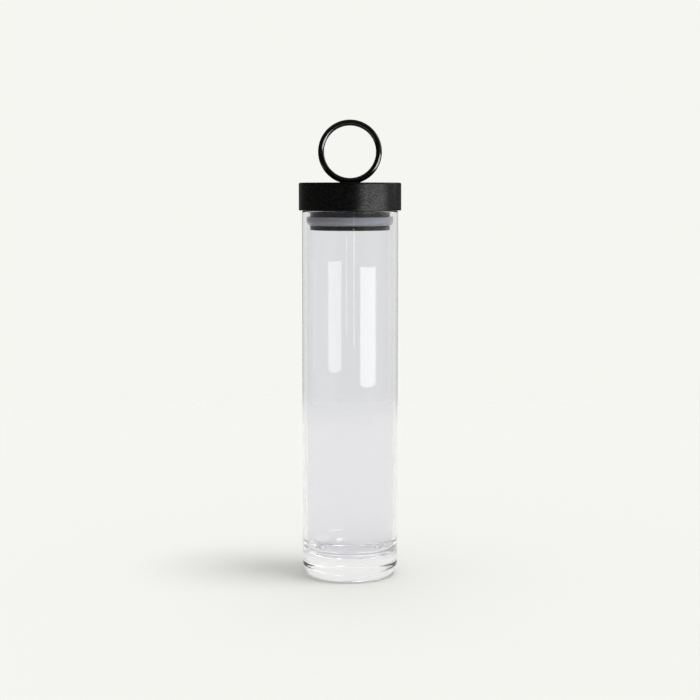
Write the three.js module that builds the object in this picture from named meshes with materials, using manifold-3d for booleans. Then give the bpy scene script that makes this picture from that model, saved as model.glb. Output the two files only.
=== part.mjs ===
// Lidded glass canister: a tall straight jar with a heavy base, closed by a turned wooden lid.
// Under the lid disc sits a grooved wooden plug with a silicone seal that grips the jar's bore.
// A steel ring handle stands on the lid, welded to a threaded stud that runs down through
// the disc and the plug to a washer and nut, and so clamps the lid together.
//
// Millimetres, +Z up. The origin is the centre of the jar's foot, and the ring lies in the XZ plane.

import * as THREE from "three";
import { mergeVertices } from "three/addons/utils/BufferGeometryUtils.js";
import Module from "manifold-3d";

// ---- Driving dimensions ----

// Jar
const JAR_DIAMETER = 80;
const JAR_HEIGHT = 307;
const JAR_WALL = 3.5;
const JAR_FLOOR = 17.5; // height of the floor inside, at the middle
const FLOOR_CORNER_RADIUS = 16; // inside, where the bore turns into the floor
const BASE_EDGE_RADIUS = 12; // outside, where the wall turns in at the bottom
const BASE_EDGE_TURN = 52; // degrees turned there, before the tighter rounding down to the foot
const FOOT_EDGE_RADIUS = 4.5;
const FOOT_WIDTH = 2.5; // flat ring that the jar stands on
const PUNT_RISE = 3.5; // hollow under the base, inside the foot
const PUNT_EDGE_RADIUS = 1.5; // both roundings of the hollow's side

// Lid disc
const LID_OVERHANG = 2.6; // past the jar's outside, all round
const LID_THICKNESS = 23;
const LID_TOP_EDGE = 1.4; // rounding
const LID_BOTTOM_EDGE = 0.6;

// Plug
const PLUG_GAP = 3.2; // between the plug and the jar's bore
const PLUG_TOP_RIM = 5.2; // heights of the plug's two rims, above and below the seal's groove
const PLUG_BOTTOM_RIM = 3.5;
const PLUG_EDGE = 0.5; // rounding of the rims
const GROOVE_DEPTH = 4;

// Seal
const SEAL_HEIGHT = 7.2;
const SEAL_CURVE_RADIUS = 4.6; // lower outer corner of the lip
const SEAL_LIP = 1.5; // thickness of the lip
const SEAL_RELIEF_DEPTH = 4; // moat in the top face that lets the lip flex
const SEAL_RELIEF_WIDTH = 1.3;

// Ring handle
const RING_INNER_DIAMETER = 43;
const RING_ROD = 5;
const RING_SEAT_DEPTH = 1.1; // how far the rod beds into the lid

// Fixing
const STUD_DIAMETER = 4;
const STUD_END = 1.2; // stud past the nut
const WASHER_DIAMETER = 9;
const WASHER_THICKNESS = 0.8;
const NUT_ACROSS_FLATS = 7;
const NUT_HEIGHT = 3.2;
const COUNTERBORE_SPARE = 0.8; // depth left below the end of the stud

// Clearances
const REST_GAP = 0.1; // faces that rest on each other
const FIT_GAP = 0.3; // pieces that sit inside each other
const COUNTERBORE_GAP = 1; // room for a socket spanner round the washer

// Facets
const TURNS = 48;
const SMALL_TURNS = 24;
const ARC_STEPS = 6;

// ---- Derived places ----

const jarRadius = JAR_DIAMETER / 2;
const boreRadius = jarRadius - JAR_WALL;

const lidRadius = jarRadius + LID_OVERHANG;
const lidBottom = JAR_HEIGHT + REST_GAP;
const lidTop = lidBottom + LID_THICKNESS;

const plugRadius = boreRadius - PLUG_GAP;
const plugTop = lidBottom - REST_GAP;
const grooveTop = plugTop - PLUG_TOP_RIM;
const grooveBottom = grooveTop - SEAL_HEIGHT - 2 * REST_GAP;
const plugBottom = grooveBottom - PLUG_BOTTOM_RIM;
const grooveRadius = plugRadius - GROOVE_DEPTH;

const sealTop = grooveTop - REST_GAP;
const sealBottom = sealTop - SEAL_HEIGHT;
const sealOuter = boreRadius - FIT_GAP;
const sealInner = grooveRadius + FIT_GAP;

const rodRadius = RING_ROD / 2;
const ringRadius = RING_INNER_DIAMETER / 2 + rodRadius; // to the middle of the rod
const ringBottom = lidTop - RING_SEAT_DEPTH;
const ringMiddle = ringBottom + rodRadius + ringRadius;

const studRadius = STUD_DIAMETER / 2;
const studHoleRadius = studRadius + FIT_GAP;
const washerRadius = WASHER_DIAMETER / 2;
const stackHeight = WASHER_THICKNESS + NUT_HEIGHT + STUD_END + 2 * REST_GAP;
const counterboreRoof = plugBottom + COUNTERBORE_SPARE + stackHeight;
const counterboreRadius = washerRadius + COUNTERBORE_GAP;
const washerTop = counterboreRoof - REST_GAP;
const nutTop = washerTop - WASHER_THICKNESS - REST_GAP;
const studTop = ringBottom - FIT_GAP;
const studBottom = nutTop - NUT_HEIGHT - STUD_END;

// ---- Helpers ----

const point = (radius, height) => new THREE.Vector2(radius, height);

// Points on an arc from one angle to another, in degrees, where 0 points away from the axis and 90 up.
function arc(radius, height, size, from, to, steps = ARC_STEPS) {
  return Array.from({ length: steps + 1 }, (_, step) => {
    const angle = THREE.MathUtils.degToRad(from + ((to - from) * step) / steps);
    return point(radius + size * Math.cos(angle), height + size * Math.sin(angle));
  });
}

// A turned shape: a profile of radius and height, revolved about the Z axis.
function turned(profile, turns = TURNS) {
  return new THREE.LatheGeometry(profile, turns).rotateX(Math.PI / 2);
}

// A turned ring: the profile closes on itself.
const turnedRing = (profile, turns) => turned([...profile, profile[0]], turns);

// A torus standing in the XZ plane at the handle's place.
function handleTorus(rod) {
  return new THREE.TorusGeometry(ringRadius, rod, 16, TURNS).rotateX(Math.PI / 2).translate(0, 0, ringMiddle);
}

const wasm = await Module();
wasm.setup();

function solid(geometry) {
  const bare = geometry.clone().deleteAttribute("normal").deleteAttribute("uv");
  const merged = mergeVertices(bare, 1e-4);
  return new wasm.Manifold(
    new wasm.Mesh({
      numProp: 3,
      vertProperties: merged.attributes.position.array,
      triVerts: new Uint32Array(merged.index.array),
    }),
  );
}

function geometryOf(manifold) {
  const mesh = manifold.getMesh();
  return new THREE.BufferGeometry()
    .setAttribute("position", new THREE.BufferAttribute(mesh.vertProperties, 3))
    .setIndex(new THREE.BufferAttribute(mesh.triVerts, 1));
}

// ---- Pieces ----

function glassJar() {
  const turn = THREE.MathUtils.degToRad(BASE_EDGE_TURN);
  const tightening = BASE_EDGE_RADIUS - FOOT_EDGE_RADIUS;
  const baseEdgeHeight = FOOT_EDGE_RADIUS + tightening * Math.sin(turn);
  const footOuter = jarRadius - BASE_EDGE_RADIUS + tightening * Math.cos(turn);
  const footInner = footOuter - FOOT_WIDTH;
  const puntRadius = footInner - 2 * PUNT_EDGE_RADIUS;
  const rim = JAR_WALL / 2;
  return turned([
    point(0, PUNT_RISE),
    ...arc(puntRadius, PUNT_RISE - PUNT_EDGE_RADIUS, PUNT_EDGE_RADIUS, 90, 0, 3),
    ...arc(footInner, PUNT_EDGE_RADIUS, PUNT_EDGE_RADIUS, 180, 270, 3),
    ...arc(footOuter, FOOT_EDGE_RADIUS, FOOT_EDGE_RADIUS, -90, -BASE_EDGE_TURN, 3),
    ...arc(jarRadius - BASE_EDGE_RADIUS, baseEdgeHeight, BASE_EDGE_RADIUS, -BASE_EDGE_TURN, 0).slice(1),
    ...arc(jarRadius - rim, JAR_HEIGHT - rim, rim, 0, 180, 8),
    ...arc(
      boreRadius - FLOOR_CORNER_RADIUS,
      JAR_FLOOR + FLOOR_CORNER_RADIUS,
      FLOOR_CORNER_RADIUS,
      0,
      -90,
      8,
    ),
    point(0, JAR_FLOOR),
  ]);
}

function lidDisc() {
  const disc = turnedRing([
    point(studHoleRadius, lidBottom),
    ...arc(lidRadius - LID_BOTTOM_EDGE, lidBottom + LID_BOTTOM_EDGE, LID_BOTTOM_EDGE, -90, 0, 2),
    ...arc(lidRadius - LID_TOP_EDGE, lidTop - LID_TOP_EDGE, LID_TOP_EDGE, 0, 90, 4),
    point(studHoleRadius, lidTop),
  ]);
  const seat = handleTorus(rodRadius + FIT_GAP);
  return geometryOf(solid(disc).subtract(solid(seat)));
}

function stopperPlug() {
  const edge = plugRadius - PLUG_EDGE;
  return turnedRing([
    point(studHoleRadius, counterboreRoof),
    point(counterboreRadius, counterboreRoof),
    point(counterboreRadius, plugBottom),
    ...arc(edge, plugBottom + PLUG_EDGE, PLUG_EDGE, -90, 0, 2),
    ...arc(edge, grooveBottom - PLUG_EDGE, PLUG_EDGE, 0, 90, 2),
    point(grooveRadius, grooveBottom),
    point(grooveRadius, grooveTop),
    ...arc(edge, grooveTop + PLUG_EDGE, PLUG_EDGE, -90, 0, 2),
    point(plugRadius, plugTop),
    point(studHoleRadius, plugTop),
  ]);
}

function sealGasket() {
  const moatOuter = sealOuter - SEAL_LIP;
  const moatInner = moatOuter - SEAL_RELIEF_WIDTH;
  const moatRadius = SEAL_RELIEF_WIDTH / 2;
  return turnedRing([
    point(sealInner, sealBottom),
    ...arc(sealOuter - SEAL_CURVE_RADIUS, sealBottom + SEAL_CURVE_RADIUS, SEAL_CURVE_RADIUS, -90, 0),
    point(sealOuter, sealTop),
    point(moatOuter, sealTop),
    ...arc(moatOuter - moatRadius, sealTop - SEAL_RELIEF_DEPTH + moatRadius, moatRadius, 0, -180, 4),
    point(moatInner, sealTop),
    point(sealInner, sealTop),
  ]);
}

const ringHandle = () => handleTorus(rodRadius);

const ringStud = () =>
  turned(
    [point(0, studBottom), point(studRadius, studBottom), point(studRadius, studTop), point(0, studTop)],
    SMALL_TURNS,
  );

const studWasher = () =>
  turnedRing(
    [
      point(studHoleRadius, washerTop - WASHER_THICKNESS),
      point(washerRadius, washerTop - WASHER_THICKNESS),
      point(washerRadius, washerTop),
      point(studHoleRadius, washerTop),
    ],
    SMALL_TURNS,
  );

function studNut() {
  const corner = NUT_ACROSS_FLATS / Math.sqrt(3);
  const outline = new THREE.Shape(
    Array.from({ length: 6 }, (_, side) => {
      const angle = (side * Math.PI) / 3;
      return point(corner * Math.cos(angle), corner * Math.sin(angle));
    }),
  );
  const bore = new THREE.Path().absarc(0, 0, studHoleRadius, 0, 2 * Math.PI, true);
  outline.holes.push(bore);
  const block = new THREE.ExtrudeGeometry(outline, {
    depth: NUT_HEIGHT,
    bevelEnabled: false,
    curveSegments: SMALL_TURNS / 2,
  });
  return block.translate(0, 0, nutTop - NUT_HEIGHT);
}

// ---- Assembly ----

const finishes = {
  clearGlass: new THREE.MeshStandardMaterial({
    color: 0xe3e6e8,
    roughness: 0.02,
    metalness: 0,
    transparent: true,
    opacity: 0.3,
  }),
  stainedWood: new THREE.MeshStandardMaterial({ color: 0x121212, roughness: 0.5, metalness: 0 }),
  silicone: new THREE.MeshStandardMaterial({ color: 0xc9ccd2, roughness: 0.35, metalness: 0 }),
  blackLacquer: new THREE.MeshStandardMaterial({ color: 0x0a0a0b, roughness: 0.18, metalness: 0 }),
  stainless: new THREE.MeshStandardMaterial({ color: 0xb4b6b8, roughness: 0.3, metalness: 1 }),
};

const canister = new THREE.Group();

function add(name, geometry, finish) {
  const mesh = new THREE.Mesh(geometry, finish);
  mesh.name = name;
  canister.add(mesh);
}

add("glass_jar", glassJar(), finishes.clearGlass);
add("lid_disc", lidDisc(), finishes.stainedWood);
add("stopper_plug", stopperPlug(), finishes.stainedWood);
add("seal_gasket", sealGasket(), finishes.silicone);
add("ring_handle", ringHandle(), finishes.blackLacquer);
add("ring_stud", ringStud(), finishes.stainless);
add("stud_washer", studWasher(), finishes.stainless);
add("stud_nut", studNut(), finishes.stainless);

export default canister;
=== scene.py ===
import math

import bmesh
import bpy
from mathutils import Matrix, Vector


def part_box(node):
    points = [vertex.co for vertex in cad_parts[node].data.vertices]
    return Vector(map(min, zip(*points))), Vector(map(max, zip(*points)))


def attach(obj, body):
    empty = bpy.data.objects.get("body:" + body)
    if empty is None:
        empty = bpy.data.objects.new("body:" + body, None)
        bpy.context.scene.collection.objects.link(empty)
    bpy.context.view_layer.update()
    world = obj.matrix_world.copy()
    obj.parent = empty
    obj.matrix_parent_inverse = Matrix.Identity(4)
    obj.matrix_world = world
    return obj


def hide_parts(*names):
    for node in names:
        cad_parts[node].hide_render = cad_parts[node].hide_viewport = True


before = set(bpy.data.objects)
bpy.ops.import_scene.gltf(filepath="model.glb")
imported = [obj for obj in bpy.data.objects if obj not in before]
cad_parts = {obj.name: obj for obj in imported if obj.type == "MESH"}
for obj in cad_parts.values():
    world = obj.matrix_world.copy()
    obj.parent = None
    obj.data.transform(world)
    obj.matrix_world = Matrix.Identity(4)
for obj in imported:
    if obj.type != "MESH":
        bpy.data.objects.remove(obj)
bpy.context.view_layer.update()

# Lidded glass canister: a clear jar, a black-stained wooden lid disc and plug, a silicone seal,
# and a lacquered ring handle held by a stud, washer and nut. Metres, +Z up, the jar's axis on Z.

MM = 0.001


# ---- Sizes ----

def radius_of(node):
    low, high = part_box(node)
    return (high.x - low.x) / 2


def bottom_of(node):
    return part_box(node)[0].z


def top_of(node):
    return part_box(node)[1].z


# Jar
JAR_RADIUS = radius_of("glass_jar")
JAR_HEIGHT = top_of("glass_jar")
WALL = 3.5 * MM
BORE_RADIUS = JAR_RADIUS - WALL
FLOOR_HEIGHT = 17.5 * MM
FLOOR_CORNER = 16 * MM
BASE_EDGE = 12 * MM
BASE_EDGE_TURN = 52  # degrees
FOOT_EDGE = 4.5 * MM
FOOT_WIDTH = 2.5 * MM
PUNT_RISE = 3.5 * MM
PUNT_EDGE = 1.5 * MM

# Lid
LID_RADIUS = radius_of("lid_disc")
LID_TOP_EDGE = 1.4 * MM
LID_BOTTOM_EDGE = 0.6 * MM
HOLE_RADIUS = 2.3 * MM
PLUG_RADIUS = radius_of("stopper_plug")
PLUG_EDGE = 0.5 * MM
GROOVE_DEPTH = 4 * MM
GROOVE_SPARE = 0.1 * MM  # between the seal and the groove's two sides
COUNTERBORE_SPARE = 1 * MM  # around the washer
COUNTERBORE_RADIUS = radius_of("stud_washer") + COUNTERBORE_SPARE
COUNTERBORE_ROOF = top_of("stud_washer") + 0.1 * MM

# Seal
SEAL_RADIUS = radius_of("seal_gasket")
SEAL_INNER = PLUG_RADIUS - GROOVE_DEPTH + 0.3 * MM
SEAL_CURVE = 4.6 * MM
SEAL_LIP = 1.5 * MM
MOAT_WIDTH = 1.3 * MM
MOAT_DEPTH = 4 * MM

# Ring handle
ROD_RADIUS = (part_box("ring_handle")[1].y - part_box("ring_handle")[0].y) / 2
RING_RADIUS = radius_of("ring_handle") - ROD_RADIUS
RING_CENTRE = Vector((0, 0, (bottom_of("ring_handle") + top_of("ring_handle")) / 2))
SEAT_SPARE = 0.3 * MM

# Fixing: an M4 stud, its washer and its nut
STUD_RADIUS = radius_of("ring_stud")
THREAD_PITCH = 0.7 * MM
THREAD_DEPTH = 0.38 * MM
THREAD_FADE = 0.5 * MM
STUD_CHAMFER = 0.4 * MM
WASHER_RADIUS = radius_of("stud_washer")
WASHER_EDGE = 0.15 * MM
NUT_RADIUS = radius_of("stud_nut")  # across its corners
NUT_CHAMFER = 25  # degrees
BORE_SPARE = 0.12 * MM


# ---- Node helpers ----

def add(tree, kind, inputs=None, **settings):
    """Adds a node. An input given as a socket is linked, and any other value is set."""
    node = tree.nodes.new(kind)
    for name, value in settings.items():
        setattr(node, name, value)
    for name, value in (inputs or {}).items():
        if isinstance(value, bpy.types.NodeSocket):
            tree.links.new(value, node.inputs[name])
        else:
            node.inputs[name].default_value = value
    return node


def calc(tree, operation, first, second=0.0, clamp=False):
    """One Math node's result."""
    inputs = {0: first, 1: second}
    return add(tree, "ShaderNodeMath", inputs, operation=operation, use_clamp=clamp).outputs[0]


def band(tree, value, low, high, to_low=0.0, to_high=1.0):
    """value moved from the range low..high to to_low..to_high with soft ends."""
    inputs = {
        "Value": value,
        "From Min": low,
        "From Max": high,
        "To Min": to_low,
        "To Max": to_high,
    }
    return add(tree, "ShaderNodeMapRange", inputs, interpolation_type="SMOOTHSTEP").outputs[0]


# ---- Mesh helpers ----

def arc(radius, height, size, start, end, steps=12):
    """Points on an arc in a profile, in degrees: 0 points away from the axis, and 90 points up."""
    points = []
    for step in range(steps + 1):
        angle = math.radians(start + (end - start) * step / steps)
        points.append((radius + size * math.cos(angle), height + size * math.sin(angle)))
    return points


def with_support(profile, reach=0.25 * MM, longest=12 * MM):
    """Adds points close to both ends of each long stretch, so that its shading stays flat."""
    points = [profile[0]]
    for (r0, z0), (r1, z1) in zip(profile, profile[1:]):
        length = math.hypot(r1 - r0, z1 - z0)
        if length > 4 * reach:
            count = max(1, math.ceil(length / longest))
            inner = [reach / length + (1 - 2 * reach / length) * i / count for i in range(count + 1)]
            points += [(r0 + (r1 - r0) * t, z0 + (z1 - z0) * t) for t in inner]
        points.append((r1, z1))
    return points


def new_object(name, mesh):
    obj = bpy.data.objects.new(name, mesh)
    bpy.context.scene.collection.objects.link(obj)
    return obj


def plain_mesh(obj, name):
    """The evaluated object as a plain mesh object, in place of obj."""
    depsgraph = bpy.context.evaluated_depsgraph_get()
    mesh = bpy.data.meshes.new_from_object(obj.evaluated_get(depsgraph), depsgraph=depsgraph)
    mesh.name = name
    bpy.data.objects.remove(obj)
    return new_object(name, mesh)


def shape_with(obj, tree, **values):
    """Gives obj a geometry nodes modifier and sets its inputs by their sockets' identifiers."""
    modifier = obj.modifiers.new(tree.name, "NODES")
    modifier.node_group = tree
    for item in tree.interface.items_tree:
        if item.item_type == "SOCKET" and item.in_out == "INPUT" and item.name in values:
            modifier[item.identifier] = values[item.name]


def cut_with(obj, cutter, operation, name):
    """The mesh of obj after a boolean with cutter, which is removed."""
    modifier = obj.modifiers.new("cut", "BOOLEAN")
    modifier.operation = operation
    modifier.solver = "EXACT"
    modifier.object = cutter
    piece = plain_mesh(obj, name)
    bpy.data.objects.remove(cutter)
    return piece


def faces_out(obj, sharp_from=35):
    """Merges doubles, turns the faces outward and marks the edges sharper than sharp_from degrees."""
    shape = bmesh.new()
    shape.from_mesh(obj.data)
    bmesh.ops.remove_doubles(shape, verts=shape.verts, dist=1e-7)
    bmesh.ops.dissolve_degenerate(shape, edges=shape.edges, dist=1e-8)
    bmesh.ops.recalc_face_normals(shape, faces=shape.faces)
    if shape.calc_volume(signed=True) < 0:
        bmesh.ops.reverse_faces(shape, faces=shape.faces)
    for face in shape.faces:
        face.smooth = True
    shape.to_mesh(obj.data)
    shape.free()
    obj.data.set_sharp_from_angle(angle=math.radians(sharp_from))


def new_tree(name, result, **sockets):
    """A geometry nodes tree with the named inputs and result, and the sockets of its inputs."""
    tree = bpy.data.node_groups.new(name, "GeometryNodeTree")
    for socket, kind in sockets.items():
        tree.interface.new_socket(socket, in_out="INPUT", socket_type="NodeSocket" + kind)
    tree.interface.new_socket(result, in_out="OUTPUT", socket_type="NodeSocketGeometry")
    return tree, add(tree, "NodeGroupInput").outputs


def give_back(tree, shape, result, finish):
    """Ends a tree: real geometry with its material."""
    real = add(tree, "GeometryNodeRealizeInstances", {"Geometry": shape})
    inputs = {"Geometry": real.outputs[0], "Material": finish}
    finished = add(tree, "GeometryNodeSetMaterial", inputs)
    add(tree, "NodeGroupOutput", {result: finished.outputs[0]})
    return tree


def turning_tree():
    """Geometry nodes that turn a profile about an axis, as a lathe does.

    The profile is a line of vertices. A grid gets one column of those vertices for each turn step,
    and each column is rotated about the axis through Centre."""
    tree, given = new_tree(
        "turning",
        "Turned",
        Profile="Geometry",
        Steps="Int",
        Axis="Vector",
        Centre="Vector",
        Finish="Material",
    )
    profile_size = add(tree, "GeometryNodeAttributeDomainSize", {"Geometry": given["Profile"]})
    count = profile_size.outputs["Point Count"]
    columns = calc(tree, "ADD", given["Steps"], 1)
    sheet = add(tree, "GeometryNodeMeshGrid", {"Vertices X": columns, "Vertices Y": count})

    index = add(tree, "GeometryNodeInputIndex").outputs[0]
    column = calc(tree, "FLOOR", calc(tree, "DIVIDE", calc(tree, "ADD", index, 0.5), count))
    row = calc(tree, "SUBTRACT", index, calc(tree, "MULTIPLY", column, count))
    place = add(
        tree,
        "GeometryNodeSampleIndex",
        {"Geometry": given["Profile"], "Index": row},
        data_type="FLOAT_VECTOR",
    )
    tree.links.new(add(tree, "GeometryNodeInputPosition").outputs[0], place.inputs["Value"])
    angle = calc(tree, "DIVIDE", calc(tree, "MULTIPLY", column, 2 * math.pi), given["Steps"])
    turned = add(
        tree,
        "ShaderNodeVectorRotate",
        {"Vector": place.outputs[0], "Center": given["Centre"], "Axis": given["Axis"], "Angle": angle},
    )
    shape = add(
        tree,
        "GeometryNodeSetPosition",
        {"Geometry": sheet.outputs["Mesh"], "Position": turned.outputs[0]},
    )
    closed = add(tree, "GeometryNodeMergeByDistance", {"Geometry": shape.outputs[0], "Distance": 1e-6})
    return give_back(tree, closed.outputs[0], "Turned", given["Finish"])


def threading_tree():
    """Geometry nodes that cut a thread into a round bar on Z, from the height Low to the height High.

    The groove's depth at each point follows its height and its turn, so it winds up as a helix."""
    sizes = dict.fromkeys(("Pitch", "Depth", "Fade", "Low", "High"), "Float")
    tree, given = new_tree("threading", "Threaded", Bar="Geometry", **sizes, Finish="Material")
    place = add(tree, "GeometryNodeInputPosition").outputs[0]
    along = add(tree, "ShaderNodeSeparateXYZ", {"Vector": place}).outputs
    turn = calc(tree, "DIVIDE", calc(tree, "ARCTAN2", along["Y"], along["X"]), 2 * math.pi)
    winding = calc(tree, "SUBTRACT", calc(tree, "DIVIDE", along["Z"], given["Pitch"]), turn)
    groove = calc(tree, "MULTIPLY", calc(tree, "PINGPONG", winding, 0.5), 2)
    above_low = calc(tree, "SUBTRACT", along["Z"], given["Low"])
    below_high = calc(tree, "SUBTRACT", given["High"], along["Z"])
    run_in = calc(tree, "DIVIDE", above_low, given["Fade"], clamp=True)
    run_out = calc(tree, "DIVIDE", below_high, given["Fade"], clamp=True)
    full_depth = calc(tree, "MULTIPLY", groove, given["Depth"])
    depth = calc(tree, "MULTIPLY", full_depth, calc(tree, "MULTIPLY", run_in, run_out))
    flat = add(tree, "ShaderNodeCombineXYZ", {"X": along["X"], "Y": along["Y"]}).outputs[0]
    outward = add(tree, "ShaderNodeVectorMath", {0: flat}, operation="NORMALIZE").outputs[0]
    inward = {0: outward, "Scale": calc(tree, "MULTIPLY", depth, -1)}
    offset = add(tree, "ShaderNodeVectorMath", inward, operation="SCALE").outputs[0]
    cut = add(tree, "GeometryNodeSetPosition", {"Geometry": given["Bar"], "Offset": offset})
    return give_back(tree, cut.outputs[0], "Threaded", given["Finish"])


TURNING = turning_tree()
THREADING = threading_tree()


def turned(name, line, finish, steps=256, axis=(0, 0, 1), centre=(0, 0, 0)):
    """A turned piece. line is the profile as 3D places, and a closed one ends where it starts."""
    mesh = bpy.data.meshes.new(name + "_profile")
    mesh.from_pydata(line, [(i, i + 1) for i in range(len(line) - 1)], [])
    blank = new_object(name + "_blank", mesh)
    shape_with(blank, TURNING, Steps=steps, Axis=axis, Centre=centre, Finish=finish)
    piece = plain_mesh(blank, name)
    faces_out(piece)
    return piece


def profile_line(profile):
    """A profile of (radius, height) as points in the XZ plane."""
    return [(radius, 0, height) for radius, height in profile]


# ---- Finishes ----

def new_finish(name):
    """A node material with its tree, its shader and the object's own coordinates."""
    finish = bpy.data.materials.new(name)
    finish.use_nodes = True
    tree = finish.node_tree
    shader = tree.nodes["Principled BSDF"]
    place = add(tree, "ShaderNodeTexCoord").outputs["Object"]
    return finish, tree, shader, place


def set_uniform(shader, **values):
    """Sets the shader's own sockets: Base_Color=... sets the socket "Base Color"."""
    for name, value in values.items():
        shader.inputs[name.replace("_", " ")].default_value = value


def stretched(tree, place, x, y, z):
    """Coordinates scaled by their own factor along each axis."""
    return add(tree, "ShaderNodeMapping", {"Vector": place, "Scale": (x, y, z)}).outputs[0]


def noise(tree, vector, scale, detail=2.0, roughness=0.5):
    inputs = {"Vector": vector, "Scale": scale, "Detail": detail, "Roughness": roughness}
    return add(tree, "ShaderNodeTexNoise", inputs).outputs["Fac"]


def bump(tree, shader, height, strength, distance):
    inputs = {"Height": height, "Strength": strength, "Distance": distance}
    tree.links.new(add(tree, "ShaderNodeBump", inputs).outputs[0], shader.inputs["Normal"])


def clear_glass():
    """Soda glass with the faint waviness of a drawn wall."""
    finish, tree, shader, place = new_finish("clear_glass")
    set_uniform(
        shader,
        Base_Color=(0.918, 0.916, 0.945, 1),
        IOR=1.5,
        Transmission_Weight=1.0,
    )
    drawn = noise(tree, stretched(tree, place, 1, 1, 0.2), 55, 2.0)
    bump(tree, shader, drawn, 0.03, 0.3 * MM)
    haze = noise(tree, place, 30, 3.0)
    tree.links.new(band(tree, haze, 0.3, 0.8, 0.0, 0.012), shader.inputs["Roughness"])
    return finish


def stained_wood():
    """Open-grained hardwood stained black, with its grain along X and a satin oil finish.

    The grain spreads a reflection up and down and leaves it narrow from side to side."""
    finish, tree, shader, place = new_finish("stained_wood")
    fibres = noise(tree, stretched(tree, place, 210, 950, 950), 1, 4.0, 0.75)
    growth = noise(tree, stretched(tree, place, 6, 260, 420), 1, 2.0)
    cells = add(
        tree,
        "ShaderNodeTexVoronoi",
        {"Vector": stretched(tree, place, 90, 1300, 1300), "Scale": 1.0, "Randomness": 1.0},
    ).outputs["Distance"]
    pores = calc(tree, "MULTIPLY", band(tree, cells, 0.34, 0.12), band(tree, growth, 0.42, 0.62))
    stain = add(
        tree,
        "ShaderNodeMix",
        {"Factor": fibres, "A": (0.0003, 0.0003, 0.0003, 1), "B": (0.0022, 0.0021, 0.002, 1)},
        data_type="RGBA",
    )
    tree.links.new(stain.outputs["Result"], shader.inputs["Base Color"])
    set_uniform(shader, Specular_IOR_Level=0.2, Anisotropic=0.9, Anisotropic_Rotation=0.25)
    smooth_to_rough = band(tree, fibres, 0.35, 0.65, 0.2, 0.44)
    roughness = calc(tree, "ADD", smooth_to_rough, calc(tree, "MULTIPLY", pores, 0.3))
    tree.links.new(roughness, shader.inputs["Roughness"])
    relief = calc(tree, "SUBTRACT", calc(tree, "MULTIPLY", fibres, 0.8), pores)
    bump(tree, shader, relief, 1.0, 0.15 * MM)
    return finish


def silicone():
    """Translucent white silicone rubber with a satin moulded skin."""
    finish, tree, shader, place = new_finish("silicone")
    set_uniform(
        shader,
        IOR=1.41,
        Transmission_Weight=0.25,
        Subsurface_Weight=0.35,
        Subsurface_Scale=2 * MM,
        Subsurface_Radius=(0.8, 0.9, 1.0),
    )
    cloud = noise(tree, place, 300, 3.0)
    colour = add(
        tree,
        "ShaderNodeMix",
        {"Factor": cloud, "A": (0.80, 0.82, 0.93, 1), "B": (0.88, 0.90, 0.99, 1)},
        data_type="RGBA",
    )
    tree.links.new(colour.outputs["Result"], shader.inputs["Base Color"])
    tree.links.new(band(tree, cloud, 0.3, 0.7, 0.28, 0.4), shader.inputs["Roughness"])
    bump(tree, shader, noise(tree, place, 2500, 2.0), 0.15, 0.03 * MM)
    return finish


def black_lacquer():
    """Gloss black lacquer on steel, with a faint orange peel."""
    finish, tree, shader, place = new_finish("black_lacquer")
    set_uniform(shader, Base_Color=(0.006, 0.006, 0.0065, 1), IOR=1.5)
    wiped = noise(tree, place, 90, 3.0)
    peel = noise(tree, place, 700, 2.0)
    tree.links.new(band(tree, wiped, 0.3, 0.7, 0.1, 0.18), shader.inputs["Roughness"])
    bump(tree, shader, peel, 0.15, 0.03 * MM)
    return finish


def stainless():
    """Plain stainless steel with fine turning marks."""
    finish, tree, shader, place = new_finish("stainless")
    set_uniform(shader, Base_Color=(0.56, 0.56, 0.57, 1), Metallic=1.0)
    marks = noise(tree, stretched(tree, place, 300, 300, 9000), 1, 2.0)
    tree.links.new(band(tree, marks, 0.3, 0.7, 0.22, 0.38), shader.inputs["Roughness"])
    bump(tree, shader, marks, 0.2, 0.02 * MM)
    return finish


MAKERS = (clear_glass, stained_wood, silicone, black_lacquer, stainless)
FINISHES = {make.__name__: make() for make in MAKERS}


# ---- Pieces ----

def jar():
    turn = math.radians(BASE_EDGE_TURN)
    tightening = BASE_EDGE - FOOT_EDGE
    base_edge_height = FOOT_EDGE + tightening * math.sin(turn)
    foot_outer = JAR_RADIUS - BASE_EDGE + tightening * math.cos(turn)
    foot_inner = foot_outer - FOOT_WIDTH
    rim = WALL / 2
    profile = [(0, PUNT_RISE)]
    profile += arc(foot_inner - 2 * PUNT_EDGE, PUNT_RISE - PUNT_EDGE, PUNT_EDGE, 90, 0, 8)
    profile += arc(foot_inner, PUNT_EDGE, PUNT_EDGE, 180, 270, 8)
    profile += arc(foot_outer, FOOT_EDGE, FOOT_EDGE, -90, -BASE_EDGE_TURN, 12)
    profile += arc(JAR_RADIUS - BASE_EDGE, base_edge_height, BASE_EDGE, -BASE_EDGE_TURN, 0, 20)[1:]
    profile += arc(JAR_RADIUS - rim, JAR_HEIGHT - rim, rim, 0, 180, 24)
    profile += arc(BORE_RADIUS - FLOOR_CORNER, FLOOR_HEIGHT + FLOOR_CORNER, FLOOR_CORNER, 0, -90, 24)
    profile += [(0, FLOOR_HEIGHT)]
    return turned("jar_glass", profile_line(with_support(profile)), FINISHES["clear_glass"], steps=320)


def turned_ring(name, rod_radius, finish):
    """A ring round RING_CENTRE, turned from the closed section of its rod at its lowest place."""
    steps = 48
    low = RING_CENTRE.z - RING_RADIUS
    angles = [2 * math.pi * step / steps for step in range(steps + 1)]
    section = [(0, rod_radius * math.cos(a), low + rod_radius * math.sin(a)) for a in angles]
    return turned(name, section, finish, axis=(0, 1, 0), centre=RING_CENTRE)


def ring():
    return turned_ring("handle_ring", ROD_RADIUS, FINISHES["black_lacquer"])


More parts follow.
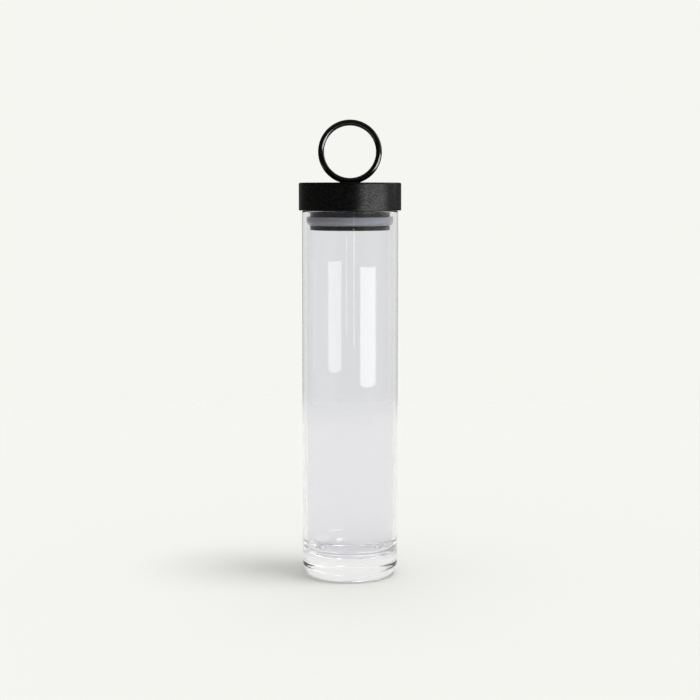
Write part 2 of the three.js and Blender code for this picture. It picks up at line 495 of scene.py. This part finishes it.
def lid():
    low, high = bottom_of("lid_disc"), top_of("lid_disc")
    profile = [(HOLE_RADIUS, low)]
    profile += arc(LID_RADIUS - LID_BOTTOM_EDGE, low + LID_BOTTOM_EDGE, LID_BOTTOM_EDGE, -90, 0, 6)
    profile += arc(LID_RADIUS - LID_TOP_EDGE, high - LID_TOP_EDGE, LID_TOP_EDGE, 0, 90, 10)
    profile += [(HOLE_RADIUS, high), (HOLE_RADIUS, low)]
    disc = turned("lid_wood", profile_line(with_support(profile)), FINISHES["stained_wood"])
    seat = turned_ring("seat_cutter", ROD_RADIUS + SEAT_SPARE, FINISHES["stained_wood"])
    disc = cut_with(disc, seat, "DIFFERENCE", "lid_wood")
    faces_out(disc)
    return disc


def plug():
    low, high = bottom_of("stopper_plug"), top_of("stopper_plug")
    groove = PLUG_RADIUS - GROOVE_DEPTH
    groove_low = bottom_of("seal_gasket") - GROOVE_SPARE
    groove_high = top_of("seal_gasket") + GROOVE_SPARE
    edge = PLUG_RADIUS - PLUG_EDGE
    profile = [(HOLE_RADIUS, COUNTERBORE_ROOF), (COUNTERBORE_RADIUS, COUNTERBORE_ROOF)]
    profile += [(COUNTERBORE_RADIUS, low)]
    profile += arc(edge, low + PLUG_EDGE, PLUG_EDGE, -90, 0, 6)
    profile += arc(edge, groove_low - PLUG_EDGE, PLUG_EDGE, 0, 90, 6)
    profile += [(groove, groove_low), (groove, groove_high)]
    profile += arc(edge, groove_high + PLUG_EDGE, PLUG_EDGE, -90, 0, 6)
    profile += [(PLUG_RADIUS, high), (HOLE_RADIUS, high), (HOLE_RADIUS, COUNTERBORE_ROOF)]
    return turned("plug_wood", profile_line(with_support(profile)), FINISHES["stained_wood"])


def seal():
    low, high = bottom_of("seal_gasket"), top_of("seal_gasket")
    moat_outer = SEAL_RADIUS - SEAL_LIP
    moat = MOAT_WIDTH / 2
    profile = [(SEAL_INNER, low)]
    profile += arc(SEAL_RADIUS - SEAL_CURVE, low + SEAL_CURVE, SEAL_CURVE, -90, 0, 16)
    profile += [(SEAL_RADIUS, high), (moat_outer, high)]
    profile += arc(moat_outer - moat, high - MOAT_DEPTH + moat, moat, 0, -180, 8)
    profile += [(moat_outer - MOAT_WIDTH, high), (SEAL_INNER, high), (SEAL_INNER, low)]
    return turned("seal_silicone", profile_line(with_support(profile)), FINISHES["silicone"])


def stud():
    low, high = bottom_of("ring_stud"), top_of("ring_stud")
    length = high - low - STUD_CHAMFER
    rows = math.ceil(length / (THREAD_PITCH / 8))
    profile = [(0, low), (STUD_RADIUS - STUD_CHAMFER, low)]
    profile += [(STUD_RADIUS, low + STUD_CHAMFER + length * row / rows) for row in range(rows + 1)]
    profile += [(0, high)]
    bar = turned("stud_steel", profile_line(profile), FINISHES["stainless"], 64)
    shape_with(
        bar,
        THREADING,
        Pitch=THREAD_PITCH,
        Depth=THREAD_DEPTH,
        Fade=THREAD_FADE,
        Low=low,
        High=high - STUD_RADIUS,
        Finish=FINISHES["stainless"],
    )
    bar = plain_mesh(bar, "stud_steel")
    faces_out(bar, 50)
    return bar


def washer():
    low, high = bottom_of("stud_washer"), top_of("stud_washer")
    bore = STUD_RADIUS + BORE_SPARE
    profile = [(bore, low)]
    profile += arc(WASHER_RADIUS - WASHER_EDGE, low + WASHER_EDGE, WASHER_EDGE, -90, 0, 6)
    profile += arc(WASHER_RADIUS - WASHER_EDGE, high - WASHER_EDGE, WASHER_EDGE, 0, 90, 6)
    profile += [(bore, high), (bore, low)]
    return turned("washer_steel", profile_line(profile), FINISHES["stainless"], 96)


def nut():
    """A hexagon with both ends of its corners turned off at an angle."""
    low, high = bottom_of("stud_nut"), top_of("stud_nut")
    angles = [math.radians(60 * side) for side in range(6)]
    corners = [(NUT_RADIUS * math.cos(angle), NUT_RADIUS * math.sin(angle)) for angle in angles]
    places = [(x, y, z) for z in (low, high) for x, y in corners]
    sides = [(side, (side + 1) % 6, (side + 1) % 6 + 6, side + 6) for side in range(6)]
    mesh = bpy.data.meshes.new("nut_blank")
    mesh.from_pydata(places, [], [*sides, tuple(range(5, -1, -1)), tuple(range(6, 12))])
    blank = new_object("nut_blank", mesh)
    flats = NUT_RADIUS * math.cos(math.radians(30))
    drop = (NUT_RADIUS - flats) * math.tan(math.radians(NUT_CHAMFER))
    bore = STUD_RADIUS + BORE_SPARE
    profile = [(bore, low), (flats, low), (NUT_RADIUS, low + drop), (NUT_RADIUS, high - drop)]
    profile += [(flats, high), (bore, high), (bore, low)]
    envelope = turned("nut_envelope", profile_line(profile), FINISHES["stainless"], 96)
    piece = cut_with(envelope, blank, "INTERSECT", "nut_steel")
    faces_out(piece, 15)
    return piece


def hand_over(piece, node, body):
    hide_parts(node)
    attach(piece, body)


hand_over(jar(), "glass_jar", "jar")
hand_over(seal(), "seal_gasket", "seal")
hand_over(lid(), "lid_disc", "lid")
hand_over(plug(), "stopper_plug", "lid")
hand_over(ring(), "ring_handle", "lid")
hand_over(stud(), "ring_stud", "lid")
hand_over(washer(), "stud_washer", "lid")
hand_over(nut(), "stud_nut", "lid")


# ---- Studio ----

PALE = (0.913, 0.922, 0.880, 1)
TABLE_RADIUS = 1.25
TABLE_FADE = 0.45
BASE_GLOW = 0.42
BASE_GLOW_EDGE = (31 * MM, 40 * MM)  # the glow fades out between these radii
PALE_TURN = 45  # degrees to the right of straight behind, where the pale side lies
FRONT_DARK = -0.6  # dark below this cosine of the angle from the pale side
FRONT_PALE = 0.1  # and fully pale above this one
SOFT_LIGHT = 0.9  # from above and from behind
ROOM_LIGHT = 0.03  # from everywhere
GLOSS_SHARE = 0.15  # the share of SOFT_LIGHT that gloss shows
MIRRORED_SHARE = 0.5  # the least share of the pale light that the glass mirrors
CAMERA_DISTANCE = 1.3
CAMERA_HEIGHT = 0.3236
CAMERA_PITCH = 5.85  # degrees down
CAMERA_LENS = 80.06
LIGHT_TURNS = 24


def camera():
    lens = bpy.data.cameras.new("camera")
    lens.lens = CAMERA_LENS
    obj = new_object("camera", lens)
    obj.location = (0, -CAMERA_DISTANCE, CAMERA_HEIGHT)
    obj.rotation_euler = (math.radians(90 - CAMERA_PITCH), 0, 0)
    bpy.context.scene.camera = obj


def table():
    """A pale round table that fades out into the surroundings, which have the same colour.

    Its glow under the jar stands for the light that the thick glass base lets through to it."""
    steps = 96
    turns = [2 * math.pi * step / steps for step in range(steps)]
    rim = [(TABLE_RADIUS * math.cos(turn), TABLE_RADIUS * math.sin(turn), 0) for turn in turns]
    mesh = bpy.data.meshes.new("table")
    mesh.from_pydata(rim, [], [list(range(steps))])
    obj = new_object("table", mesh)
    finish, tree, shader, place = new_finish("table_paper")
    set_uniform(
        shader,
        Base_Color=(0.828, 0.828, 0.814, 1),
        Specular_IOR_Level=0.0,
        Roughness=1.0,
        Emission_Color=(1, 1, 1, 1),
    )
    distance = add(tree, "ShaderNodeVectorMath", {0: place}, operation="LENGTH").outputs["Value"]
    under_jar = band(tree, distance, *BASE_GLOW_EDGE, BASE_GLOW, 0.0)
    tree.links.new(under_jar, shader.inputs["Emission Strength"])
    fade = band(tree, distance, TABLE_RADIUS - TABLE_FADE, TABLE_RADIUS, 1.0, 0.0)
    clear = add(tree, "ShaderNodeBsdfTransparent").outputs[0]
    mixed = add(tree, "ShaderNodeMixShader", {0: fade, 1: clear, 2: shader.outputs[0]})
    tree.links.new(mixed.outputs[0], tree.nodes["Material Output"].inputs["Surface"])
    mesh.materials.append(finish)


def surroundings():
    """Pale for what is seen directly or straight through the glass.

    What the glass or a piece inside it mirrors or scatters is pale from behind and the right. From
    elsewhere, what it mirrors keeps MIRRORED_SHARE and what it scatters keeps none. The rest is dark
    with light from above and behind, which shows only faintly as gloss."""
    world = bpy.data.worlds.new("studio")
    bpy.context.scene.world = world
    world.use_nodes = True
    tree = world.node_tree
    tree.nodes.clear()
    direction = add(tree, "ShaderNodeTexCoord").outputs["Generated"]
    along = add(tree, "ShaderNodeSeparateXYZ", {"Vector": direction}).outputs
    path = add(tree, "ShaderNodeLightPath").outputs
    above = band(tree, along["Z"], 0.3, 0.9, 0.0, SOFT_LIGHT)
    behind = band(tree, along["Y"], 0.5, 0.95, 0.0, SOFT_LIGHT)
    gloss = band(tree, path["Is Glossy Ray"], 0, 1, 1.0, GLOSS_SHARE)
    soft_light = calc(tree, "MULTIPLY", calc(tree, "MAXIMUM", above, behind), gloss)
    strength = calc(tree, "ADD", soft_light, ROOM_LIGHT)
    studio = add(tree, "ShaderNodeBackground", {"Color": PALE, "Strength": strength})
    pale = add(tree, "ShaderNodeBackground", {"Color": PALE, "Strength": 1.0})
    back_right = add(tree, "ShaderNodeVectorMath", {0: direction}, operation="DOT_PRODUCT")
    turn = math.radians(PALE_TURN)
    back_right.inputs[1].default_value = (math.sin(turn), math.cos(turn), 0)
    lit_side = band(tree, back_right.outputs["Value"], FRONT_DARK, FRONT_PALE)
    scattered = calc(tree, "MINIMUM", path["Diffuse Depth"], 1)
    mirrored = calc(tree, "MINIMUM", path["Glossy Depth"], 1)
    straight = calc(tree, "SUBTRACT", 1, calc(tree, "MAXIMUM", scattered, mirrored))
    at_least = calc(tree, "MULTIPLY", calc(tree, "SUBTRACT", 1, scattered), MIRRORED_SHARE)
    lit = calc(tree, "MAXIMUM", lit_side, calc(tree, "MAXIMUM", straight, at_least))
    through = calc(tree, "MULTIPLY", path["Is Transmission Ray"], lit)
    seen = calc(tree, "MAXIMUM", path["Is Camera Ray"], through)
    mixed = add(tree, "ShaderNodeMixShader", {0: seen, 1: studio.outputs[0], 2: pale.outputs[0]})
    add(tree, "ShaderNodeOutputWorld", {"Surface": mixed.outputs[0]})


def panel(name, azimuth, distance, low, high, width, radiance):
    """A soft box facing the jar's axis, from the height low to the height high.

    It shows as gloss and through the glass, and gives matt surfaces no light. Azimuth 0 is in
    front of the jar and 90 on its right."""
    light = bpy.data.lights.new(name, "AREA")
    light.shape = "RECTANGLE"
    light.size, light.size_y = width, high - low
    light.energy = radiance * math.pi * width * (high - low)
    obj = new_object(name, light)
    turn = math.radians(azimuth)
    obj.location = (distance * math.sin(turn), -distance * math.cos(turn), (low + high) / 2)
    obj.rotation_euler = (math.radians(90), 0, turn)
    obj.visible_camera = False
    obj.visible_diffuse = False
    return obj


def only_on(light, pieces):
    """Makes a light show on the named pieces only."""
    lit = bpy.data.collections.new(light.name + "_pieces")
    for piece in pieces:
        lit.objects.link(bpy.data.objects[piece])
    light.light_linking.receiver_collection = lit


def sky_light(name, azimuth, elevation, spread, irradiance):
    """A distant round light that gives no gloss. irradiance is what it gives a level surface."""
    light = bpy.data.lights.new(name, "SUN")
    light.angle = math.radians(spread)
    light.energy = irradiance / math.sin(math.radians(elevation))
    obj = new_object(name, light)
    obj.rotation_euler = (math.radians(90 - elevation), 0, math.radians(azimuth))
    obj.visible_camera = False
    obj.visible_glossy = False


camera()
table()
surroundings()
panel("front_right", 43.5, 0.471, 0.108, 0.24, 0.334, 2.7)
panel("front_slit", 9.5, 0.8, 0.12, 0.29, 0.02, 3)
lid_glow = panel("lid_glow", 54, 0.62, 0.02, 0.32, 0.73, 11)
only_on(lid_glow, ("lid_wood", "plug_wood", "handle_ring"))
panel("side_right", 105, 0.9, 0.37, 1.1, 0.8, 1.5)
sky_light("key", 76, 74, 20, 1.15)
sky_light("overhead", 0, 90, 120, 0.5)
bpy.context.scene.view_settings.view_transform = "Standard"

# Light takes many turns inside the thick base before it leaves it.
cycles = bpy.context.scene.cycles
cycles.max_bounces = cycles.glossy_bounces = cycles.transmission_bounces = LIGHT_TURNS
